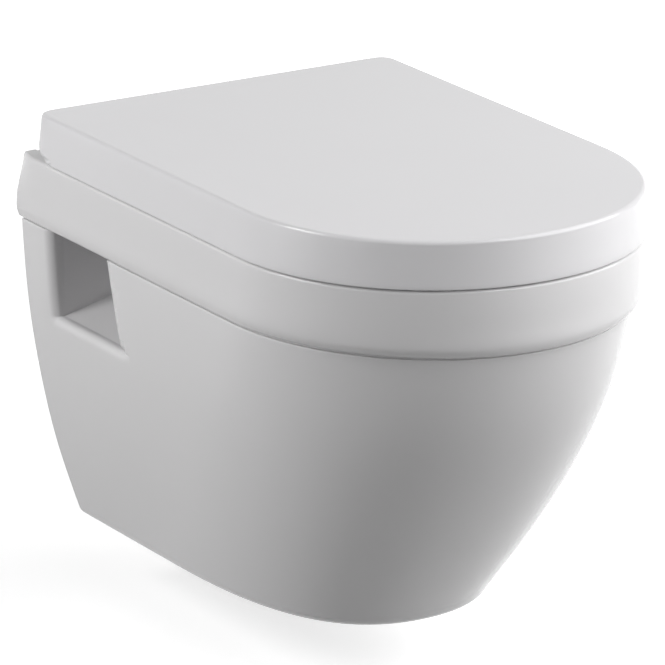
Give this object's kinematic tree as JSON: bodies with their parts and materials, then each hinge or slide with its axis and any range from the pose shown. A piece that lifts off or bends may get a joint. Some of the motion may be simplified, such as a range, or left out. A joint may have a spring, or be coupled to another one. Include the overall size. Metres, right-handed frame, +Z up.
{
  "type": "wall hung toilet",
  "caption": "Wall hung toilet: a D-shaped glazed china pan with side pockets over its wall studs, and a soft-close wrap-over seat and lid that tip up.",
  "frame": {"origin": "on the wall plane, midway between the two wall studs", "axes": "+Y towards the wall, so the front points to -Y; +Z up; +X to the right of somebody looking along +Y"},
  "size_m": [0.36, 0.53, 0.379],
  "materials": {
    "glazed_china": "white glaze",
    "seat_plastic": "polished white urea moulding",
    "black_rubber": "moulded",
    "grey_rubber": "moulded",
    "clear_rubber": "soft translucent white",
    "sleeve_plastic": "natural nylon",
    "damper_plastic": "moulded",
    "zinc_steel": "zinc plated",
    "stainless_steel": "turned",
    "hinge_chrome": "polished chrome",
    "cap_chrome": "polished chrome"
  },
  "bodies": {
    "pan": {"pan": "glazed_china", "flush_inlet_seal": "black_rubber", "stud_sleeve_left": "sleeve_plastic", "stud_washer_left": "zinc_steel", "stud_nut_left": "zinc_steel", "stud_cap_left": "cap_chrome", "hinge_gasket_left": "grey_rubber", "hinge_post_left": "hinge_chrome", "seat_bolt_left": "stainless_steel", "seat_bolt_bush_left": "grey_rubber", "seat_bolt_washer_left": "zinc_steel", "seat_wing_nut_left": "sleeve_plastic", "hinge_pin_left": "stainless_steel", "stud_sleeve_right": "sleeve_plastic", "stud_washer_right": "zinc_steel", "stud_nut_right": "zinc_steel", "stud_cap_right": "cap_chrome", "hinge_gasket_right": "grey_rubber", "hinge_post_right": "hinge_chrome", "seat_bolt_right": "stainless_steel", "seat_bolt_bush_right": "grey_rubber", "seat_bolt_washer_right": "zinc_steel", "seat_wing_nut_right": "sleeve_plastic", "hinge_pin_right": "stainless_steel"},
    "seat": {"seat_ring": "seat_plastic", "seat_buffer_rear_left": "clear_rubber", "seat_buffer_rear_right": "clear_rubber", "seat_buffer_front_left": "clear_rubber", "seat_buffer_front_right": "clear_rubber", "seat_damper": "damper_plastic", "seat_hinge_bush": "damper_plastic"},
    "lid": {"lid": "seat_plastic", "lid_buffer_left": "clear_rubber", "lid_buffer_right": "clear_rubber", "lid_damper": "damper_plastic", "lid_hinge_bush": "damper_plastic"}
  },
  "joints": [
    {"name": "seat_hinge", "type": "hinge", "parent": "pan", "child": "seat", "pos_m": [0, -0.048, 0.1075], "axis": [-1, 0, 0], "range_deg": [0, 94]},
    {"name": "lid_hinge", "type": "hinge", "parent": "seat", "child": "lid", "pos_m": [0, -0.048, 0.1075], "axis": [-1, 0, 0], "range_deg": [0, 94]}
  ]
}
